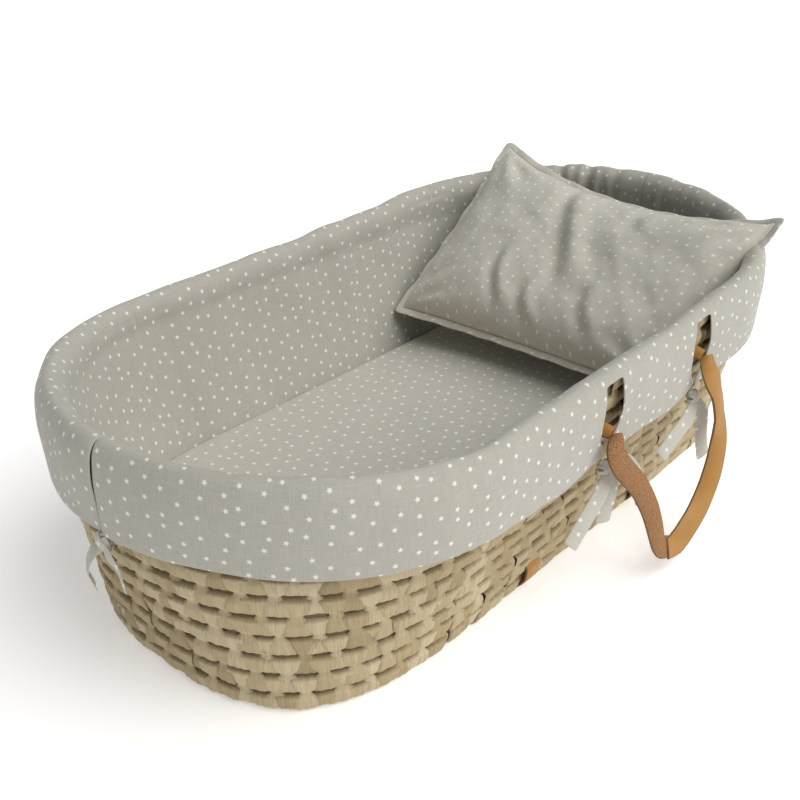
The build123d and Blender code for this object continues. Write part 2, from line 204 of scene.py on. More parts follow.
# ---- meshes
def mesh_object(name, points, faces, maps=None, tones=None):
    mesh = bpy.data.meshes.new(name)
    mesh.from_pydata(np.asarray(points).reshape(-1, 3).tolist(), [], faces)
    if maps is not None:
        layer = mesh.uv_layers.new(name="cloth")
        corner = np.zeros(len(mesh.loops), int)
        mesh.loops.foreach_get("vertex_index", corner)
        layer.data.foreach_set("uv", np.asarray(maps).reshape(-1, 2)[corner].astype(np.float32).ravel())
    for key, values in (tones or {}).items():
        attribute = mesh.attributes.new(key, "FLOAT", "POINT")
        attribute.data.foreach_set("value", np.asarray(values, np.float32).ravel())
    mesh.polygons.foreach_set("use_smooth", [True] * len(mesh.polygons))
    mesh.update()
    made = bpy.data.objects.new(name, mesh)
    bpy.context.scene.collection.objects.link(made)
    return made


def grid_faces(rows, columns, closed=False, start=0, flip=False):
    """Quads of a grid whose points run row by row."""
    faces = []
    for r in range(rows - 1):
        low, high = start + r * columns, start + (r + 1) * columns
        for c in range(columns if closed else columns - 1):
            d = (c + 1) % columns
            quad = [low + c, low + d, high + d, high + c]
            faces.append(quad[::-1] if flip else quad)
    return faces


def thicken(piece, thickness, offset):
    thick = piece.modifiers.new("cloth", "SOLIDIFY")
    thick.thickness = thickness
    thick.offset = offset


def finish_piece(piece, body, material, nodes=(), smoothing=0):
    piece.data.materials.clear()
    for one in material if isinstance(material, (list, tuple)) else [material]:
        piece.data.materials.append(one)
    if smoothing:
        rounded = piece.modifiers.new("smooth", "SUBSURF")
        rounded.levels = smoothing
        rounded.render_levels = smoothing
    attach(piece, body)
    if nodes:
        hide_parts(*nodes)
    return piece


# ---- materials
class Nodes:
    """Short way to build a node tree."""

    def __init__(self, name):
        self.material = bpy.data.materials.new(name)
        self.material.use_nodes = True
        self.tree = self.material.node_tree
        self.shader = self.tree.nodes["Principled BSDF"]

    def add(self, kind, **settings):
        node = self.tree.nodes.new(kind)
        for key, value in settings.items():
            setattr(node, key, value)
        return node

    def link(self, source, target):
        self.tree.links.new(source, target)

    def feed(self, value, socket):
        """Sets a socket to a number or a colour, or links it to another node's output."""
        if isinstance(value, (int, float)):
            socket.default_value = value
        elif isinstance(value, tuple):
            socket.default_value = (*value, 1.0)
        else:
            self.link(value, socket)

    def math(self, operation, *inputs):
        node = self.add("ShaderNodeMath", operation=operation)
        for value, socket in zip(inputs, node.inputs):
            self.feed(value, socket)
        return node.outputs[0]

    def mul(self, a, b):
        return self.math("MULTIPLY", a, b)

    def sub(self, a, b):
        return self.math("SUBTRACT", a, b)

    def noise(self, vector, scale, detail=2.0, roughness=0.5):
        node = self.add("ShaderNodeTexNoise")
        settings = {"Scale": scale, "Detail": detail, "Roughness": roughness, "Vector": vector}
        for name, value in settings.items():
            self.feed(value, node.inputs[name])
        return node.outputs["Fac"]

    def stretched(self, vector, scale):
        node = self.add("ShaderNodeMapping")
        node.inputs["Scale"].default_value = scale
        self.link(vector, node.inputs["Vector"])
        return node.outputs["Vector"]

    def mix(self, factor, first, second):
        node = self.add("ShaderNodeMix", data_type="RGBA")
        for i, value in ((0, factor), (6, first), (7, second)):
            self.feed(value, node.inputs[i])
        return node.outputs[2]

    def ramp(self, factor, stops):
        node = self.add("ShaderNodeValToRGB")
        while len(node.color_ramp.elements) < len(stops):
            node.color_ramp.elements.new(0.5)
        for element, (place, colour) in zip(node.color_ramp.elements, stops):
            element.position = place
            element.color = (*colour, 1.0)
        self.link(factor, node.inputs["Fac"])
        return node.outputs["Color"]

    def bump(self, height, distance, strength):
        node = self.add("ShaderNodeBump")
        node.inputs["Strength"].default_value = strength
        node.inputs["Distance"].default_value = distance
        self.link(height, node.inputs["Height"])
        return node.outputs["Normal"]

    def set_shader(self, *settings):
        for name, value in settings:
            self.shader.inputs[name].default_value = value

    def place(self):
        return self.add("ShaderNodeUVMap", uv_map="cloth").outputs["UV"]

    def finish(self, colour, roughness, normal):
        self.feed(colour, self.shader.inputs["Base Color"])
        self.feed(roughness, self.shader.inputs["Roughness"])
        self.link(normal, self.shader.inputs["Normal"])
        return self.material


LINEN = (0.455, 0.435, 0.375)
STAR_CELL = 0.0158
STAR_RADIUS = 0.0024
STAR_TIP = math.radians(30)  # how pointed the stars are
STAR_JITTER = 0.46  # share of a cell that a star may lie off its middle
STAR_WHITE = (0.83, 0.82, 0.77)
THREAD_DARK, THREAD_LIGHT = 0.86, 1.12


def star_mask(t, place):
    """1 inside small five-pointed stars set unevenly in a jittered grid."""
    cells = t.add("ShaderNodeVectorMath", operation="SCALE")
    t.link(place, cells.inputs[0])
    cells.inputs["Scale"].default_value = 1 / STAR_CELL
    apart = t.add("ShaderNodeSeparateXYZ")
    t.link(cells.outputs[0], apart.inputs[0])
    column = t.math("FLOOR", apart.outputs["X"])
    odd = t.mul(t.math("FLOORED_MODULO", column, 2.0), 0.5)
    row_place = t.math("ADD", apart.outputs["Y"], odd)
    row = t.math("FLOOR", row_place)
    identity = t.add("ShaderNodeCombineXYZ")
    t.link(column, identity.inputs["X"])
    t.link(row, identity.inputs["Y"])
    chance = t.add("ShaderNodeTexWhiteNoise", noise_dimensions="3D")
    t.link(identity.outputs[0], chance.inputs["Vector"])
    toss = t.add("ShaderNodeSeparateXYZ")
    t.link(chance.outputs["Color"], toss.inputs[0])

    def local(value, cell, luck):
        within = t.sub(t.sub(value, cell), 0.5)
        return t.sub(within, t.mul(t.sub(luck, 0.5), STAR_JITTER))

    x = local(apart.outputs["X"], column, toss.outputs["X"])
    y = local(row_place, row, toss.outputs["Y"])
    radius = t.math("SQRT", t.math("ADD", t.mul(x, x), t.mul(y, y)))
    turn = t.math("ADD", t.math("ARCTAN2", y, x), t.mul(toss.outputs["Z"], 6.283))
    fifth = 2 * math.pi / 5
    wedge = t.math("ABSOLUTE", t.sub(t.math("FLOORED_MODULO", turn, fifth), fifth / 2))
    reach = t.mul(radius, t.math("SINE", t.math("ADD", wedge, STAR_TIP)))
    limit = STAR_RADIUS / STAR_CELL * math.sin(STAR_TIP)
    soft = 0.3 * limit
    outside = t.math("DIVIDE", t.sub(reach, limit - soft), 2 * soft)
    return t.sub(1.0, t.math("SMOOTH_MIN", 1.0, t.math("MAXIMUM", 0.0, outside), 0.0))


def linen(name, tint):
    """Plain-weave linen: threads, slubs, soft mottling and a white star print."""
    t = Nodes(name)
    place = t.place()
    warp = t.noise(t.stretched(place, (1700.0, 60.0, 1.0)), 1.0, 1.0)
    weft = t.noise(t.stretched(place, (60.0, 1700.0, 1.0)), 1.0, 1.0)
    slub = t.mul(t.math("ADD", warp, weft), 0.5)
    mottle = t.noise(place, 60.0, 3.0)
    dark = tuple(c * tint * THREAD_DARK for c in LINEN)
    light = tuple(c * tint * THREAD_LIGHT for c in LINEN)
    cloth = t.ramp(slub, [(0.32, dark), (0.68, light)])
    cloth = t.mix(t.mul(mottle, 0.25), cloth, tuple(c * tint * 0.9 for c in LINEN))
    cloth = t.mix(t.mul(star_mask(t, place), 0.93), cloth, STAR_WHITE)
    normal = t.bump(slub, 0.0005, 0.35)
    t.set_shader(("Sheen Weight", 0.25), ("Sheen Roughness", 0.5), ("Specular IOR Level", 0.25))
    return t.finish(cloth, 0.9, normal)


def palm(name):
    """Dried palm leaf: fibres along the leaf, tone from leaf to leaf, and painted shade where it tucks in
    under other leaves.
    """
    t = Nodes(name)
    place = t.place()
    tone = t.add("ShaderNodeAttribute", attribute_name="tone").outputs["Fac"]
    tuck_shade = t.add("ShaderNodeAttribute", attribute_name="tuck_shade").outputs["Fac"]
    fibre = t.noise(t.stretched(place, (900.0, 26.0, 1.0)), 1.0, 3.0, 0.6)
    blotch = t.noise(place, 90.0, 2.0)
    colour = t.ramp(tone, [
        (0.0, (0.27, 0.195, 0.098)),
        (0.3, (0.42, 0.325, 0.175)),
        (0.65, (0.53, 0.43, 0.255)),
        (1.0, (0.64, 0.54, 0.355)),
    ])
    colour = t.mix(t.mul(t.sub(fibre, 0.45), 1.6), colour, (0.22, 0.15, 0.075))
    colour = t.mix(t.mul(blotch, 0.3), colour, (0.52, 0.43, 0.27))
    # painted shade: darkens the leaf towards near-black where it goes under its neighbours
    colour = t.mix(t.mul(tuck_shade, 0.85), colour, (0.075, 0.05, 0.028))
    normal = t.bump(fibre, 0.0012, 0.7)
    t.set_shader(("Specular IOR Level", 0.3))
    return t.finish(colour, t.math("ADD", 0.5, t.mul(fibre, 0.3)), normal)


def leather(name, pale, deep, grain, rough):
    """Leather grain with pores; rough runs from 0, smooth, to 1, suede."""
    t = Nodes(name)
    where = t.add("ShaderNodeTexCoord").outputs["Object"]
    cells = t.add("ShaderNodeTexVoronoi", feature="DISTANCE_TO_EDGE")
    cells.inputs["Scale"].default_value = grain
    t.link(where, cells.inputs["Vector"])
    pores = t.math("MINIMUM", t.mul(cells.outputs["Distance"], 4.0), 1.0)
    mottle = t.noise(where, 28.0, 4.0)
    fine = t.noise(where, 900.0, 2.0)
    colour = t.ramp(fine if rough > 0.5 else mottle, [(0.3, deep), (0.7, pale)])
    colour = t.mix(t.mul(fine, 0.25), colour, deep)
    height = t.math("ADD", t.mul(pores, 0.5), fine)
    normal = t.bump(height, 0.0004, rough)
    t.set_shader(("Specular IOR Level", 0.35))
    return t.finish(colour, 0.42 + 0.45 * rough, normal)


def wadding(name, colour):
    """Soft fibres."""
    t = Nodes(name)
    where = t.add("ShaderNodeTexCoord").outputs["Object"]
    fluff = t.noise(where, 420.0, 4.0, 0.7)
    tint = t.ramp(fluff, [(0.3, tuple(c * 0.85 for c in colour)), (0.7, colour)])
    return t.finish(tint, 0.95, t.bump(fluff, 0.002, 0.6))


cover_linen = linen("cover_linen", 0.99)
sheet_linen = linen("sheet_linen", 1.10)
pillow_linen = linen("pillow_linen", 1.27)
tie_linen = linen("tie_linen", 1.2)
palm_leaf = palm("palm_leaf")
smooth_leather = leather("smooth_leather", (0.47, 0.245, 0.065), (0.40, 0.195, 0.045), 700.0, 0.18)
suede_leather = leather("suede_leather", (0.50, 0.27, 0.12), (0.19, 0.08, 0.028), 420.0, 0.95)
edge_leather = leather("edge_leather", (0.22, 0.115, 0.05), (0.16, 0.08, 0.035), 900.0, 0.6)
white_wadding = wadding("white_wadding", (0.82, 0.82, 0.8))
cream_foam = wadding("cream_foam", (0.80, 0.77, 0.66))


# ---- plaited palm
def plait_surface(p, s, out):
    """Point at place p and distance s up the wall's profile, moved out by out.
    Below zero the profile runs in under the base, and it is rounded at the bottom edge."""
    bend = np.clip(1 - s / ROUND, 0, 1) * math.pi / 2
    z = np.where(s > ROUND, s, ROUND * (1 - np.sin(bend)))
    inset = np.where(s > ROUND, 0.0, TUCK * (1 - np.cos(bend)))
    flat, _ = wall_at(p, z, inset - np.cos(bend) * out)
    under = np.clip(-s, 0, None)[..., None]
    middle = np.array([BASE_CENTRE, 0.0])
    shrink = 1 - under / np.array([BASE_HALF_LENGTH - TUCK, BASE_HALF_WIDTH - TUCK])
    flat = middle + (flat - middle) * shrink
    return raised(flat, np.maximum(z - np.sin(bend) * out, FLOOR_GAP))


def course_height(p, share):
    """Height up the wall of a share of the rows at place p."""
    x = rim.at(p)[..., 0]
    return share * (ridge(x) - RIM_DROP - BINDING)


LEAF_PITCH = 0.0285
LEAVES = int(round(rim.round * 0.93 / LEAF_PITCH))  # crossing each line of the wall
LOWEST_ROUND = 0.86  # the lowest line's way round, as a share of the rim's
BASE_SHRINK = 0.27  # distance in under the base over which the way round would shrink to nothing
LEAF_NECK = 0.0095
LEAF_OVERLAP = 0.0055
LEAF_REACH = 0.965
LEAF_BULGE = 0.0022
LEAF_SINK = 0.0062
LEAF_PLUNGE = 0.83  # share of its reach past which a leaf's tip goes down under the next row
LEAF_DEPTH = -0.0022  # the leaves' plain face, out from the palm wall's face
LEAF_POINTS = (33, 13)
BACKING_DEPTH = -0.0042
BACKING_POINTS = (30, 480)


def plait_line(name, line, nodes):
    """Leaves that cross one line between rows: pinched at the line and fanning out above and below."""
    rng = np.random.default_rng(100 + line)
    rows, columns = LEAF_POINTS
    if line >= 0:
        length = rim.round * (LOWEST_ROUND + (1 - LOWEST_ROUND) * min(line / (COURSES - 1), 1))
    else:
        length = base.round * (1 + line * ROW / BASE_SHRINK)
    count = LEAVES if line >= 0 else max(int(round(length / LEAF_PITCH)), 8)
    pitch = length / count
    shape = (count, rows, columns)
    v = np.linspace(-1, 1, rows)[None, :, None] * np.ones(shape)
    # closer together at the line and at the tips
    v = 0.5 * v + 0.5 * np.sin(v * math.pi / 2) * np.abs(v) ** 0.3
    u = np.linspace(-1, 1, columns)[None, None, :] * np.ones(shape)

    def pick(low, high):
        """A chance value for each leaf."""
        return rng.uniform(low, high, count)[:, None, None]

    def pick_ends(low, high):
        """A chance value for each leaf's upper end, and another for its lower end."""
        return np.where(v > 0, pick(low, high), pick(low, high))

    middle = (np.arange(count) + 0.5 * (line % 2) + rng.uniform(-0.07, 0.07, count)) / count
    middle = middle[:, None, None]
    along = rim.at(middle)
    sideways = np.abs(along[..., 1]) / HALF_WIDTH
    slant = smooth(0.75, 1.0, sideways)
    spread = pick_ends(-0.0022, 0.003)
    neck = LEAF_NECK * pick(0.8, 1.3)
    fan = pitch - 2 * LEAF_NECK
    width = neck + (fan + spread) * np.abs(v) + LEAF_OVERLAP * smooth(0.03, 0.22, np.abs(v))
    lean = pick(-0.0016, 0.0016) + slant * 0.0030
    across = u * width / 2 + lean * v + slant * pick(-0.002, 0.003) * v * v
    reach = LEAF_REACH * pick(0.94, 1.03)
    share = (line + v * reach) / COURSES
    place = middle + across / length
    if line >= 0:
        s = course_height(place, np.maximum(share, 0))
        s = np.where(share < 0, share * COURSES * ROW, s)
    else:
        s = share * COURSES * ROW
    lift = pick(-0.0007, 0.0009)
    crown = smooth(0.0, 0.35, np.abs(v)) + 0.25 * np.sin(math.pi * np.abs(v))
    bulge = LEAF_BULGE * pick(0.85, 1.15) * crown
    sink = LEAF_SINK * smooth(LEAF_PLUNGE, 1.0, np.abs(v))
    pleats = pick_ends(0.8, 2.2)
    phase = pick_ends(0, 6)
    crease = 0.0010 * np.abs(np.sin(pleats * math.pi * u + phase)) * smooth(0.05, 0.5, np.abs(v))
    tilt = pick_ends(-0.0011, 0.0011) * u * smooth(0, 0.4, np.abs(v))
    curl = -0.0016 * np.abs(u) ** 5
    points = plait_surface(place, s, LEAF_DEPTH + lift + bulge - sink + crease + tilt + curl)
    one = np.array(grid_faces(rows, columns))
    faces = (one[None] + (np.arange(count) * rows * columns)[:, None, None]).reshape(-1, 4).tolist()
    maps = np.stack([across + pick(0, 5), v * ROW + pick(0, 5)], -1)
    tone = np.clip(pick(0.25, 0.95) + 0.1 * v + 0.12 * (np.abs(v) < 0.3), 0, 1) * np.ones(shape)
    # painted shade at each leaf's tips, where it goes down under the next row, and along its side edges
    # under its neighbours
    tuck_shade = np.clip((np.abs(v) - 0.86) / 0.12, 0, 1) ** 1.5 + 0.25 * np.abs(u) ** 6
    piece = mesh_object(name, points, faces, maps, {"tone": tone, "tuck_shade": tuck_shade})
    return finish_piece(piece, "basket", palm_leaf, nodes)


def plait_backing(name, low, high, nodes=()):
    """Inner layer of the plait, seen only in the gaps, darkened all over with painted shade."""
    rows, columns = BACKING_POINTS
    p, share = np.meshgrid(np.linspace(0, 1, columns, endpoint=False), np.linspace(low, high, rows))
    s = np.where(share < 0, share * COURSES * ROW, course_height(p, np.maximum(share, 0)))
    ripple = 0.0004 * np.sin(p * 2 * math.pi * 260)
    points = plait_surface(p, s, BACKING_DEPTH + ripple)
    maps = np.stack([p * rim.round, s], -1)
    tone = 0.3 + 0.15 * swell(p * 320, share * 30, 5)
    # painted shade: a fixed tuck shade of 0.7 over the whole layer, which lies in shadow behind the leaves
    piece = mesh_object(name, points, grid_faces(rows, columns, True), maps, {
        "tone": tone, "tuck_shade": np.full(p.shape, 0.7)})
    return finish_piece(piece, "basket", palm_leaf, nodes)


plait_backing("wall_backing", -0.1, 1.08)
for line in range(COURSES + 1):
    node = f"wall_course_{line + 1:02d}" if line < COURSES else "rim_binding"
    plait_line(f"plait_{node}", line, [node])
BASE_LINES = 7  # lines of leaves in under the base
for line in range(1, BASE_LINES + 1):
    plait_line(f"plait_base_{line}", -line, ["base_mat"] if line == 1 else [])
plait_backing("base_backing", -BASE_LINES / COURSES * 0.99, -0.02)


# ---- fabric cover
# outward and upward from the ridge line, from the hem over the crest to the lip inside
COVER_PROFILE = (
    (-0.0030, -0.0810),
    (-0.0012, -0.0560),
    (0.0000, -0.0320),
    (-0.0032, -0.0100),
    (-0.0120, 0.0000),
    (-0.0235, -0.0065),
    (-0.0280, -0.0200),
)
COVER_AFTER = (-0.0005, -0.02)  # how the profile goes on past the lip

cover_curve = curve_through(COVER_PROFILE, 24, np.array(COVER_PROFILE[-1]) + COVER_AFTER)
cover_run = run_along(cover_curve)
LIP = cover_run[-1]
CREST = LIP - 0.033
INNER_DROP = 0.150  # cloth from the lip down inside, to below the mattress top
INNER_LEAST = -0.0010  # the straps run just behind the lining

SEAMS_OUT = (0.75, 0.25)  # foot and head ends
SEAM_FOOT, SEAM_HEAD = 0.225 / cover.round, 0.24 / cover.round  # inner seams, each way from the middle
SEAMS_IN = (0.5 + SEAM_FOOT, 1.0 - SEAM_FOOT, 0.5 - SEAM_HEAD, SEAM_HEAD)
SEAM_GAPS = (-0.0045, -0.0028, -0.0014, 0.0, 0.0014, 0.0028, 0.0045)  # columns beside a seam
COLUMN_STEP = 0.0032
SLIT_HALF = 0.0150  # half width of a slit before it is drawn to its shape
SLIT_TOP_T = 0.0810 - 0.0075  # a slit's top, from the hem
SLIT_ASIDE = 0.006  # the slits lean a little towards the head end
SLIT_ZONE = 0.045  # how far to each side a slit draws the cloth aside


def near_seam(p, seams):
    """Signed distance to the nearest of the seams, in metres."""
    nearest = np.full(np.shape(p), 9.0)
    for seam in seams:
        gap = (np.mod(np.asarray(p) - seam + 0.5, 1.0) - 0.5) * cover.round
        nearest = np.where(np.abs(gap) < np.abs(nearest), gap, nearest)
    return nearest


def cloth_swell(p, t):
    """How far the padded cloth stands out from its plain shape."""
    run = p * cover.round
    head = smooth(0.15, 0.21, np.mod(p, 1.0)) * (1 - smooth(0.29, 0.35, np.mod(p, 1.0)))
    inside = smooth(CREST - 0.01, LIP, t)
    soft = 0.0016 * swell(run * 14, t * 16, 11) + 0.0007 * swell(run * 45, t * 22, 12)
    folds = 0.0022 * swell(run * 26, t * 5, 13) * inside
    pucker = swell(run * 52, t * 6, 14)
    gathers = (0.0040 * pucker - 0.0160 * np.clip(pucker, 0, None) ** 1.5) * head
    gathers *= smooth(CREST - 0.012, CREST + 0.018, t) * (1 - 0.6 * smooth(LIP + 0.03, LIP + 0.10, t))
    bumps = 0.0016 * swell(run * 22, t * 0, 15) * smooth(0.06, CREST, t) * (1 - inside)
    groove = np.zeros(np.shape(p * t))
    outer, inner = 1 - smooth(LIP - 0.005, LIP + 0.01, t), smooth(LIP - 0.02, LIP, t)
    for seams, where in ((SEAMS_OUT, outer), (SEAMS_IN, inner)):
        gap = near_seam(p, seams)
        where = where * (1 - 0.9 * head * smooth(CREST - 0.02, CREST, t))
        groove += where * (-0.0010 * np.exp(-(gap / 0.0016) ** 2) + 0.0003 * np.exp(-(gap / 0.007) ** 2)
                           * np.sign(gap))
    grow = soft + folds + gathers + bumps + groove
    return np.where(t > LIP - 0.004, np.maximum(grow, INNER_LEAST - 0.008 * head), grow)


def cover_point(p, t, behind=0.0):
    """Point of the cover's cloth at place p and distance t from the outer hem, or a layer behind it."""
    edge = cover.at(p)
    out = cover.outward(p)
    a = np.interp(t, cover_run, cover_curve[:, 0])
    h = np.interp(t, cover_run, cover_curve[:, 1])
    slope_a = np.gradient(cover_curve[:, 0], cover_run)
    slope_h = np.gradient(cover_curve[:, 1], cover_run)
    na = np.interp(t, cover_run, slope_h)
    nh = -np.interp(t, cover_run, slope_a)
    past = np.clip(t - LIP, 0, None)
    ridge_z = ridge(edge[..., 0])
    z = ridge_z + h - past * 0.97
    lower, _ = wall_at(p, z, LINER_FACE)
    upper, _ = wall_at(p, FLARE_HIGH + 0.01, LINER_FACE)
    drop = np.where(past > 0, 1.0, 0.0)[..., None] * (lower - upper)
    length = np.hypot(na, nh) + 1e-9
    grow = cloth_swell(p, t) - behind
    flat = edge + out * (a + grow * na / length)[..., None] + drop
    return raised(flat, z + grow * nh / length)


def columns_between(low, high, seams, slits):
    """Places along the rim, closer at the seams and with five across each slit."""
    step = COLUMN_STEP / cover.round
    places = list(np.arange(low, high, step)) + [high]
    beside = [seam + turn + gap / cover.round for seam in seams for turn in (-1, 0, 1) for gap in SEAM_GAPS]
    places += [place for place in beside if low < place < high]
    for slit in slits:
        half = SLIT_HALF / cover.round
        places = [q for q in places if abs(q - slit) > half + 0.4 * step]
        places += [slit - half, slit - half / 2, slit, slit + half / 2, slit + half]
    places = np.array(sorted(places))
    return places[np.concatenate([[True], np.diff(places) > 0.0006 / cover.round])]


def slit_opening(t):
    """Half width of a slit at distance t from the hem."""
    return np.interp(t, [0.0, 0.008, 0.022, 0.045, SLIT_TOP_T], [0.0015, 0.004, 0.014, 0.0175, 0.0135])


def cover_half(name, low, high, slits):
    """Valance, crest and lip of one half of the cover, with its two slits."""
    p = columns_between(low, high, SEAMS_OUT + SEAMS_IN, slits)
    t = np.concatenate([np.linspace(0, SLIT_TOP_T, 26), np.linspace(SLIT_TOP_T, LIP, 22)[1:],
                        np.linspace(LIP, LIP + INNER_DROP, 36)[1:]])
    pp, tt = np.meshgrid(p, t)
    warped = pp.copy()
    pull = np.zeros(pp.shape)
    for slit in slits:
        gap = (pp - slit) * cover.round
        near = np.abs(gap) < SLIT_ZONE
        opening = slit_opening(tt)
        outer = opening + (np.abs(gap) - SLIT_HALF) * (SLIT_ZONE - opening) / (SLIT_ZONE - SLIT_HALF)
        inner = np.abs(gap) / SLIT_HALF * opening
        moved = np.sign(gap) * np.where(np.abs(gap) >= SLIT_HALF, outer, inner)
        aside = SLIT_ASIDE * np.clip(tt / SLIT_TOP_T, 0, 1) * (1 - smooth(0.02, SLIT_ZONE, np.abs(gap)))
        moved = moved + (aside if low < 0 else -aside)
        warped = np.where(near & (tt < SLIT_TOP_T + 1e-6), slit + moved / cover.round, warped)
        pull += np.exp(-(gap / 0.03) ** 2)
    points = cover_point(warped, tt)
    low_part = 1 - smooth(0.0, 0.05, tt)
    points[..., 2] += 0.006 * pull * low_part
    points[..., 2] += 0.0012 * swell(pp * cover.round * 18, tt * 0, 21) * low_part
    faces = []
    columns = len(p)
    for index, face in enumerate(grid_faces(len(t), columns)):
        r, c = divmod(index, columns - 1)
        middle_p = (p[c] + p[c + 1]) / 2
        in_slit = any(abs(middle_p - slit) * cover.round < SLIT_HALF - 1e-5 for slit in slits)
        if in_slit and t[r + 1] <= SLIT_TOP_T + 1e-6:
            continue
        faces.append(face)
    used = np.unique(np.array(faces).ravel())
    new_index = np.full(points.reshape(-1, 3).shape[0], -1)
    new_index[used] = np.arange(len(used))
    faces = new_index[np.array(faces)].tolist()
    maps = np.stack([warped * cover.round, tt], -1).reshape(-1, 2)[used]
    piece = mesh_object(f"cover_{name}", points.reshape(-1, 3)[used], faces, maps)
    thicken(piece, CLOTH_THICK, -1)
    return finish_piece(piece, "basket", cover_linen, [name], 1)


near_slits = [near_place(x) for x in SLITS]
far_slits = [0.5 - near_place(x) for x in SLITS]
skirt_near = cover_half("skirt_near", -0.25, 0.25, near_slits)
skirt_far = cover_half("skirt_far", 0.25, 0.75, far_slits)


LINER_BEHIND = 0.0022  # the lining lies this far behind the cover
LINER_FLOOR = 0.0062  # and the cloth floor this far above the lowest of its CAD solid


def liner_piece():
    """Lining behind the lower part of the cover, and the cloth floor under the mattress."""
    p = columns_between(0.0, 1.0, SEAMS_IN, [])[:-1]
    down = np.linspace(LIP + 0.06, LIP + INNER_DROP + 0.012, 24)
    wall = cover_point(*np.meshgrid(p, down), LINER_BEHIND)
    floor_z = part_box("liner")[0].z + LINER_FLOOR
    middle = np.array([BASE_CENTRE, 0.0])
    rows = [*wall]
    for z, shrink in ((0.05, 0.0), (0.03, 0.0), (0.008, 0.01), (0.002, 0.03), (0.0, 0.08),
                      (0.0, 0.3), (0.0, 0.55), (0.0, 0.8), (0.0, 1.0)):
        at, _ = wall_at(p, floor_z + z, LINER_FACE)
        rows.append(raised(at + (middle - at) * np.array([shrink * 0.6, shrink]), floor_z + z))
    points = np.array(rows)
    v = np.concatenate([down, down[-1] + 0.02 * np.arange(1, len(rows) - len(down) + 1)])
    maps = np.stack(np.meshgrid(p * cover.round, v), -1)
    piece = mesh_object("cover_liner", points, grid_faces(len(rows), len(p), True), maps)
    finish_piece(piece, "basket", cover_linen, ["liner"], 1)


liner_piece()


def wadding_roll():
    """Roll of wadding under the cover's crest, clear of the slits."""
    columns, round_steps = 240, 14
    p = np.linspace(0, 1, columns, endpoint=False)[:, None] * np.ones((1, round_steps))
    turn = np.linspace(0, 2 * math.pi, round_steps, endpoint=False)[None, :]
    edge, out = cover.at(p), cover.outward(p)
    a = -0.0145 + 0.0048 * np.cos(turn) + 0.0004 * swell(p * cover.round * 60, turn, 17)
    h = -0.0088 + 0.0022 * np.sin(turn)
    points = raised(edge + out * a[..., None], ridge(edge[..., 0]) + h)
    faces = grid_faces(columns + 1, round_steps, True)
    faces = (np.array(faces) % (columns * round_steps)).tolist()
    piece = mesh_object("cover_wadding", points, faces)
    finish_piece(piece, "basket", white_wadding, ["rim_padding"])


wadding_roll()


# ---- mattress
def rounded_slab(name, low, high, edge, rows_in, puff, material, inset, nodes, under):
    """Slab that follows the inside of the basket, with rounded edges; under says how far in its rings
    under the bottom lie, from the innermost out."""
    columns = 260
    p = np.linspace(0, 1, columns, endpoint=False)
    levels = []
    for angle in np.linspace(-90, 90, 13):
        a = math.radians(angle)
        middle = low + edge if angle < 0 else high - edge
        levels.append((middle + edge * math.sin(a), edge * (1 - math.cos(a))))
    centre = np.array([BASE_CENTRE / 2, 0.0])

    def ring(z, moved_in, shrink, rise):
        at, _ = wall_at(p, z, inset + moved_in)
        side = np.array([0.62, 1.0]) * shrink
        flat = centre + (at - centre) * (1 - side)
        bump = rise + 0.0012 * swell(flat[:, 0] * 18, flat[:, 1] * 18, 31) * (shrink > 0)
        return raised(flat, z + bump)

    rows = [ring(levels[0][0], levels[0][1], s, 0.0) for s in under]
    rows += [ring(z, moved_in, 0.0, 0.0) for z, moved_in in levels]
    for i in range(1, rows_in + 1):
        shrink = (i / rows_in) ** 0.9
        rows.append(ring(levels[-1][0], levels[-1][1], shrink, puff * smooth(0.0, 0.5, np.array(shrink))))
    points = np.array(rows)
    maps = points[..., :2].copy()
    sides = points[..., 2] < high - edge * 0.5
    maps[..., 1] += np.where(sides, points[..., 2] * 1.3, 0.0)
    piece = mesh_object(name, points, grid_faces(len(rows), columns, True), maps)
    return finish_piece(piece, "mattress", material, nodes)


sheet = rounded_slab("fitted_sheet", MATTRESS_LOW + 0.0004, MATTRESS_TOP - 0.001, 0.013, 16, 0.0025,
                     sheet_linen, LINER_FACE + 0.0012, ["mattress_sheet"], (0.20, 0.13, 0.06))
foam = rounded_slab("mattress_foam", MATTRESS_LOW + 0.003, MATTRESS_TOP - 0.004, 0.011, 8, 0.0015,
                    cream_foam, LINER_FACE + 0.004, ["mattress_core"], (1.0, 0.7, 0.4, 0.15))


# ---- pillow
# corners: low far, low near, high near, high far
PILLOW_CORNERS = np.array([(0.139, 0.169, 0.1295), (0.142, -0.171, 0.124),
                           (0.304, -0.206, 0.274), (0.352, 0.169, 0.2805)])
PILLOW_WIDTH, PILLOW_LENGTH = 0.38, 0.27
PILLOW_THICK = 0.042  # of each skin at the middle, before the shares below
TOP_SHARE, BOTTOM_SHARE = 1.05, 0.72
FLANGE = 0.010


def pillow_local():
    """Stuffed pillow in its own flat frame: two skins sewn round the edge."""
    u, v = np.meshgrid(np.linspace(-1, 1, 96), np.linspace(-1, 1, 70))
    pinch = 1 - np.where(v > 0, 0.20, 0.05) * (1 - u ** 2) ** 0.8
    pinch_u = 1 - 0.03 * (1 - v ** 2)
    x = u * PILLOW_WIDTH / 2 * pinch_u
    y = v * PILLOW_LENGTH / 2 * pinch
    return u, v, x, y, PILLOW_THICK * ((1 - u ** 4) * (1 - v ** 4)) ** 0.55


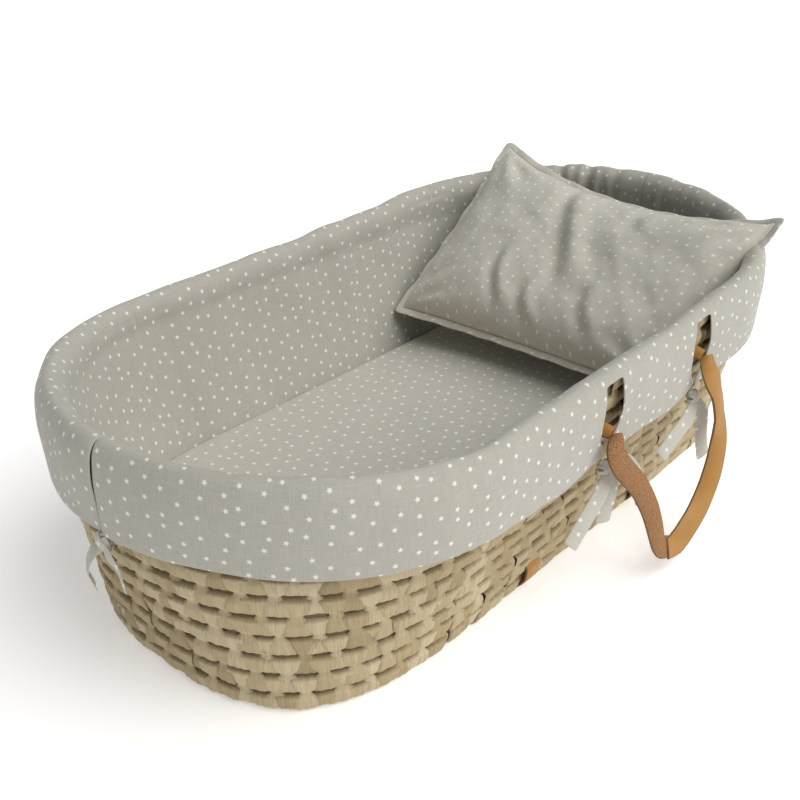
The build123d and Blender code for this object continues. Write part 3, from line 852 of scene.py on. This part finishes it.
def seat_pillow(x, y, w):
    """Takes points from the pillow's flat frame to its place against the head end."""
    low_far, low_near, high_near, high_far = PILLOW_CORNERS
    a = (0.5 - x / PILLOW_WIDTH)[..., None]
    b = (0.5 + y / PILLOW_LENGTH)[..., None]
    at = (low_far * a + low_near * (1 - a)) * (1 - b) + (high_far * a + high_near * (1 - a)) * b
    across = low_near - low_far + high_near - high_far
    up = high_far - low_far + high_near - low_near
    facing = np.cross(across, up)
    facing /= np.linalg.norm(facing)
    facing = facing if facing[2] > 0 else -facing
    a, b = a[..., 0] * 2 - 1, b[..., 0] * 2 - 1
    sag = -0.022 * (1 - a ** 2) * (0.6 + 0.4 * b)
    return at + facing * (w + sag)[..., None]


def fold(u, v, start, end, depth, width):
    """A soft crease between two places on the pillow, with a ridge on one side."""
    a, b = np.array(start), np.array(end)
    span = np.linalg.norm(b - a)
    along = (b - a) / span
    run = ((u - a[0]) * along[0] + (v - a[1]) * along[1]) / span
    off = (u - a[0]) * -along[1] + (v - a[1]) * along[0] + 0.03 * np.sin(run * 5)
    fade = smooth(-0.15, 0.25, run) * (1 - smooth(0.7, 1.15, run))
    beside = 0.7 * np.exp(-((off - 1.6 * width) / (1.3 * width)) ** 2)
    return depth * fade * (beside - np.exp(-(off / width) ** 2))


PILLOW_FOLDS = (  # start, end, depth, width
    ((-0.30, 0.95), (0.02, -0.45), 0.0085, 0.07),
    ((-0.42, -0.25), (-0.30, -0.85), 0.0060, 0.045),
    ((-0.12, -0.50), (-0.02, -0.95), 0.0050, 0.045),
    ((0.30, -0.35), (0.42, -0.90), 0.0040, 0.05),
    ((0.35, 0.90), (0.25, 0.40), 0.0035, 0.06),
)


def pillow_wrinkles(u, v):
    """The long middle fold, short ones along the low edge and fans at the corners."""
    folds = sum(fold(u, v, *one) for one in PILLOW_FOLDS)
    for corner_u in (-1, 1):
        for corner_v in (-1, 1):
            away = np.hypot(u - corner_u, (v - corner_v) * 0.8)
            angle = np.arctan2((v - corner_v) * 0.8, u - corner_u)
            folds += 0.0024 * np.sin(angle * 11 + corner_u) * np.exp(-((away - 0.28) / 0.16) ** 2)
    return folds


def pillow_piece():
    """The pillow's case, its filling and its flange."""
    u, v, x, y, thick = pillow_local()
    rows, columns = u.shape
    wrinkle = swell(u * 5 + v * 2, v * 3 + 9, 41) * 0.0026
    wrinkle += swell(u * 16, v * 9 + 20, 42) * 0.0008
    wrinkle += pillow_wrinkles(u, v)
    rise = np.clip(thick / 0.02, 0, 1)
    top = seat_pillow(x, y, thick * TOP_SHARE + wrinkle * rise)
    bottom = seat_pillow(x, y, -thick * BOTTOM_SHARE)
    points = np.concatenate([top.reshape(-1, 3), bottom.reshape(-1, 3)])
    count = rows * columns
    faces = grid_faces(rows, columns) + grid_faces(rows, columns, start=count, flip=True)
    ring = list(range(columns)) + [r * columns + columns - 1 for r in range(1, rows)]
    ring += [(rows - 1) * columns + c for c in range(columns - 2, -1, -1)]
    ring += [r * columns for r in range(rows - 2, 0, -1)]
    for i, a in enumerate(ring):
        b = ring[(i + 1) % len(ring)]
        faces.append([b, a, a + count, b + count])
    flat = np.stack([u * PILLOW_WIDTH / 2, v * PILLOW_LENGTH / 2], -1).reshape(-1, 2)
    maps = np.concatenate([flat, flat + 3.0])
    piece = mesh_object("pillow_cover", points, faces, maps)
    finish_piece(piece, "pillow", pillow_linen, ["pillow_case"], 1)
    inner_points = np.concatenate([
        seat_pillow(x * 0.97, y * 0.96, thick * 0.75).reshape(-1, 3),
        seat_pillow(x * 0.97, y * 0.96, -thick * 0.62).reshape(-1, 3),
    ])
    filling = mesh_object("pillow_wadding", inner_points, faces, maps)
    finish_piece(filling, "pillow", white_wadding, ["pillow_filling"])
    # the flange: a flat double border outside the seam
    border = np.stack([x, y, u, v], -1).reshape(-1, 4)[ring]
    rim_out = []
    for share in (0.0, 0.5, 1.0):
        grown_x = border[:, 0] + FLANGE * share * np.sign(border[:, 2]) * (np.abs(border[:, 2]) > 0.999)
        grown_y = border[:, 1] + FLANGE * share * np.sign(border[:, 3]) * (np.abs(border[:, 3]) > 0.999)
        wave = 0.0012 * share * np.sin(np.arange(len(border)) * 0.55)
        rim_out.append(seat_pillow(grown_x, grown_y, wave))
    rim_out = np.array(rim_out)
    flange_maps = border[None, :, :2] + 0.004 * np.arange(3)[:, None, None]
    flange = mesh_object("pillow_flange", rim_out, grid_faces(3, len(border), True), flange_maps)
    thicken(flange, CLOTH_THICK, 0)
    finish_piece(flange, "pillow", pillow_linen, (), 1)


pillow_piece()


# ---- leather
STRAP_WIDTH, STRAP_THICK = 0.022, 0.0026
STRAP_BEVEL = 0.0007
PINCH, PINCH_RUN = 0.5, 0.028  # a strap's width share in a slit, and the way over which it widens
SMOOTH, SUEDE, EDGE = 0, 1, 2  # places in a strap's list of materials


def smooth_route(route, steps=10):
    """Line through the route's points, with the faces turned evenly between them."""
    faces = np.array([b for _, b in route], float)
    shares = np.linspace(0, 1, steps, endpoint=False)
    turned = [faces[i] * (1 - t) + faces[i + 1] * t for i in range(len(faces) - 1) for t in shares]
    return curve_through([a for a, _ in route], steps), np.array([*turned, faces[-1]])


def strap_piece(name, body, node, routes, rough_out, pinched):
    """Flat leather strap with softened edges along each route; rough_out says which face looks out,
    and pinched which of its ends curl up narrow in a slit."""
    half, thin, bevel = STRAP_WIDTH / 2, STRAP_THICK / 2, STRAP_BEVEL
    section = [(-half + bevel, thin), (0, thin + 0.0002), (half - bevel, thin), (half, thin - bevel),
               (half, bevel - thin), (half - bevel, -thin), (0, -thin - 0.0001), (bevel - half, -thin),
               (-half, bevel - thin), (-half, thin - bevel)]
    kinds = [SMOOTH, SMOOTH, EDGE, EDGE, EDGE, SUEDE, SUEDE, EDGE, EDGE, EDGE]
    turned_over = {SMOOTH: SUEDE, SUEDE: SMOOTH, EDGE: EDGE}
    columns = len(section)
    points, faces, maps, kind = [], [], [], []
    for route, rough, (first, last) in zip(routes, rough_out, pinched):
        line, face = smooth_route(route)
        across, out = strip_along(line, face)
        run = run_along(line)
        start = len(points)
        share = np.ones(len(line))
        if first:
            share *= np.interp(run, [0.0, PINCH_RUN], [PINCH, 1.0])
        if last:
            share *= np.interp(run[-1] - run, [0.0, PINCH_RUN], [PINCH, 1.0])
        for i in range(len(line)):
            for a, b in section:
                curl = 0.004 * (1 - share[i]) * (a / half) ** 2
                points.append(line[i] + across[i] * a * share[i] + out[i] * (b - curl))
                maps.append((a, run[i]))
        faces += grid_faces(len(line), columns, True, start)
        kind += [turned_over[k] if rough else k for k in kinds] * (len(line) - 1)
        faces.append([start + j for j in range(columns)][::-1])
        faces.append([start + (len(line) - 1) * columns + j for j in range(columns)])
        kind += [EDGE, EDGE]
    piece = mesh_object(name, points, faces, maps)
    finish_piece(piece, body, [smooth_leather, suede_leather, edge_leather], [node])
    piece.data.polygons.foreach_set("material_index", kind)
    return piece


HINGE_Y = 0.237
HINGE_FOOT_Z, HINGE_HEAD_Z = 0.185, 0.201
# the handle's two legs from the foot slit to the head slit: places, and the ways the strap's face looks
FOOT_LEG = (
    ((SLITS[0], -HINGE_Y, HINGE_FOOT_Z), (-0.6, 0, 0.8)),
    ((-0.063, -0.2415, 0.181), (-0.6, -0.7, 0.5)),
    ((-0.067, -0.2445, 0.170), (-0.3, -1, 0.3)),
    ((-0.055, -0.2475, 0.152), (-0.25, -1, 0.15)),
    ((-0.031, -0.2505, 0.125), (-0.25, -1, 0.15)),
    ((-0.010, -0.2530, 0.093), (-0.25, -1, 0.15)),
    ((0.003, -0.2545, 0.066), (-0.2, -1, 0.15)),
    ((0.0125, -0.2550, 0.045), (-0.1, -1, 0.2)),
    ((0.021, -0.2552, 0.0340), (0, -1, 0.3)),
    ((0.033, -0.2556, 0.0285), (0, -1, 0.3)),
)
HEAD_LEG = (
    ((0.030, -0.2575, 0.0285), (0, -1, 0.3)),
    ((0.048, -0.2575, 0.0260), (-0.3, -0.8, 0.5)),
    ((0.068, -0.2565, 0.0300), (-0.5, -0.8, 0.4)),
    ((0.093, -0.2560, 0.0440), (-0.6, -0.8, 0.3)),
    ((0.1145, -0.2550, 0.0700), (-0.6, -0.85, 0.15)),
    ((0.1215, -0.2545, 0.1035), (-0.4, -0.95, 0.05)),
    ((0.119, -0.2525, 0.1355), (0.1, -1, 0)),
    ((0.113, -0.2490, 0.1620), (0.1, -1, 0.1)),
    ((0.102, -0.2440, 0.1880), (-0.6, -0.8, 0.5)),
    ((0.105, -HINGE_Y, HINGE_HEAD_Z), (-0.6, 0, 0.8)),
)


def mirrored(route):
    """The same route on the other side."""
    return tuple(((x, -y, z), (a, -b, c)) for (x, y, z), (a, b, c) in route)


for side, flip in (("near", False), ("far", True)):
    legs = [mirrored(leg) if flip else leg for leg in (FOOT_LEG, HEAD_LEG)]
    handle = strap_piece(f"{side}_strap", f"{side}_handle", f"{side}_handle", legs,
                         rough_out=(True, False), pinched=((True, False), (False, True)))
    if flip:
        handle.data.flip_normals()


def sling_route(slit, low_x, top_z):
    """From one slit down behind the lining, out low on the wall, under the base and up the far side."""

    def beside(x, z, out):
        at, _ = wall_at(near_place(x), z, -out)
        return (x, at[1], z)

    behind = 0.0075 - LINER_FACE
    inside = [(slit + (low_x - slit) * (1 - z / top_z), z) for z in (top_z - 0.014, 0.13, 0.09, 0.052)]
    keys = [((slit, -HINGE_Y + 0.0036, top_z), (-0.6, 0, 0.8)),
            ((slit, -HINGE_Y + 0.017, top_z - 0.001), (-0.5, -0.3, 0.7))]
    keys += [(beside(x, z, behind), (0, -1, 0)) for x, z in inside]
    keys += [(beside(low_x, 0.040, -0.006), (0, -1, 0.4)), (beside(low_x, 0.032, 0.0024), (0, -1, 0.3))]
    keys += [(beside(low_x, z, 0.0046), (0, -1, -0.1)) for z in (0.024, 0.016)]
    edge = beside(low_x, 0.0, 0.0)[1]
    keys += [((low_x, edge, 0.009), (0, -1, -0.4)), ((low_x, edge + 0.008, 0.0030), (0, -0.6, -1)),
             ((low_x, edge + 0.020, 0.0018), (0, 0, -1)), ((low_x, -0.08, 0.0017), (0, 0, -1)),
             ((low_x, 0.0, 0.0017), (0, 0, -1))]
    return [*keys, *mirrored(keys[-2::-1])]


for name, slit, low_x, top_z in (("sling_foot", SLITS[0], -0.078, HINGE_FOOT_Z),
                                 ("sling_head", SLITS[1], 0.118, HINGE_HEAD_Z)):
    strap_piece(f"leather_{name}", "basket", name, [sling_route(slit, low_x, top_z)],
                rough_out=(False,), pinched=((True, True),))


# ---- ties
TIE_WIDTH, TIE_THICK = 0.0155, 0.0010
KNOT_WIDTH, KNOT_RADIUS = 0.0085, 0.0062
KNOT_DROP = 0.006  # the knot's middle below the top of its CAD solid


def ribbon(points, faces, maps, line, facing, widths):
    """Adds a ribbon along a line to the lists."""
    across, out = strip_along(line, facing)
    run = run_along(line)
    start = len(points)
    columns = 7
    for i in range(len(line)):
        for j in range(columns):
            share = j / (columns - 1) - 0.5
            a = share * widths[i]
            cup = 0.0012 * math.cos(math.pi * share) * (i / len(line))
            points.append(line[i] + across[i] * a + out[i] * cup)
            maps.append((a + 0.4 * start, run[i]))
    faces += grid_faces(len(line), columns, False, start)


def tie_piece(node, way, tails):
    """Knotted cloth tie: a round knot of two wraps, and tails that hang from it; way points outwards."""
    low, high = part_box(node)
    out, up = np.array([*way, 0.0]), np.array([0, 0, 1.0])
    side = np.cross(up, out)
    if node.endswith("end"):
        middle = np.array([(low.x + high.x) / 2, 0.0, high.z - KNOT_DROP])
    else:
        slit = SLITS[0] if node.endswith("foot") else SLITS[1]
        middle = np.array([slit, (low.y + high.y) / 2, high.z - KNOT_DROP])
    points, faces, maps = [], [], []
    for turn, lean in ((0, 0.25), (1, -0.35)):
        ring = []
        for a in 2 * math.pi * np.arange(17) / 16:
            ring.append(middle + side * math.cos(a) * KNOT_RADIUS
                        + out * math.sin(a) * (0.0044 + 0.0008 * turn)
                        + up * (math.cos(a) * lean * 0.016 + 0.001 * turn))
        ring = np.array(ring)
        facing = ring - middle
        facing /= np.linalg.norm(facing, axis=1, keepdims=True)
        ribbon(points, faces, maps, ring, facing, np.full(len(ring), KNOT_WIDTH))
    turned = out - 0.55 * side + 0.25 * up
    for keys in tails:
        line = curve_through([middle + side * a + out * b + up * c for a, b, c in np.array(keys) / 1000], 7)
        widths = np.interp(np.linspace(0, 1, len(line)), [0, 0.3, 1], [0.008, TIE_WIDTH, TIE_WIDTH])
        ribbon(points, faces, maps, line, np.tile(turned, (len(line), 1)), widths)
    piece = mesh_object(f"ribbon_{node}", points, faces, maps)
    thicken(piece, TIE_THICK, 0)
    finish_piece(piece, "basket", tie_linen, [node], 1)


# tails: places sideways, outward and upward of the knot, in millimetres
tie_piece("tie_near_foot", (0.0, -1.0), [
    ((0, 3, -2), (-14, 6, -18), (-34, 4, -38), (-52, 2, -56)),
    ((2, 3, -2), (3, 6, -20), (-1, 5, -40), (0, 3, -56)),
    ((3, 1, -2), (30, 2, -6), (56, 3, -34), (72, 4, -70)),
])
tie_piece("tie_near_head", (0.0, -1.0), [
    ((0, 3, -2), (-18, 6, -14), (-42, 4, -28), (-60, 2, -40)),
    ((2, 3, -2), (14, 5, -22), (24, 3, -52), (40, 1, -84)),
])
tie_piece("tie_far_foot", (0.0, 1.0), [
    ((0, 3, -2), (12, 6, -18), (30, 4, -40), (42, 2, -56)),
    ((-2, 3, -2), (-6, 6, -20), (-4, 5, -40), (-8, 3, -58)),
])
tie_piece("tie_far_head", (0.0, 1.0), [
    ((0, 3, -2), (16, 6, -14), (36, 4, -30), (50, 2, -44)),
    ((-2, 3, -2), (-12, 5, -22), (-22, 3, -50), (-34, 1, -76)),
])
tie_piece("tie_foot_end", (-1.0, 0.0), [
    ((0, 3, -2), (-10, 7, -12), (-17, 8, -30), (-14, 4, -48)),
    ((2, 3, -2), (12, 5, -8), (20, 4, -18), (24, 3, -34)),
])
tie_piece("tie_head_end", (1.0, 0.0), [
    ((0, 3, -2), (-10, 6, -14), (-15, 6, -32), (-18, 4, -50)),
    ((2, 3, -2), (10, 5, -14), (16, 4, -30), (18, 3, -46)),
])


# ---- stage, light and camera
WHITE = (1.0, 1.0, 1.0, 1.0)

floor_white = Nodes("floor_white")
floor_white.set_shader(("Base Color", (0.92, 0.92, 0.92, 1.0)), ("Roughness", 0.9),
                       ("Specular IOR Level", 0.1), ("Emission Color", WHITE), ("Emission Strength", 0.34))
floor = mesh_object("floor", [(-20, -20, 0), (20, -20, 0), (20, 20, 0), (-20, 20, 0)], [[0, 1, 2, 3]])
floor.data.materials.append(floor_white.material)

world = bpy.data.worlds.new("studio")
world.use_nodes = True
background = world.node_tree.nodes["Background"]
background.inputs["Color"].default_value = WHITE
background.inputs["Strength"].default_value = 0.28
bpy.context.scene.world = world

key = bpy.data.lights.new("key", "SUN")
key.energy = 2.45
key.angle = math.radians(60)
key_lamp = bpy.data.objects.new("key", key)
key_lamp.rotation_mode = "QUATERNION"
key_lamp.rotation_quaternion = Vector((-0.20, 0.60, -0.80)).to_track_quat("-Z", "Y")
bpy.context.scene.collection.objects.link(key_lamp)

bpy.context.scene.view_settings.view_transform = "Standard"

camera_data = bpy.data.cameras.new("camera")
camera_data.lens = 50
camera_data.sensor_width = 36
camera_data.shift_x = -0.005
camera = bpy.data.objects.new("camera", camera_data)
camera_place = Vector((-0.8077, -0.6349, 0.6483))
camera_target = Vector((-0.0403, 0.0151, 0.126))
camera.location = camera_place
camera.rotation_mode = "QUATERNION"
camera.rotation_quaternion = (camera_target - camera_place).to_track_quat("-Z", "Y")
bpy.context.scene.collection.objects.link(camera)
bpy.context.scene.camera = camera
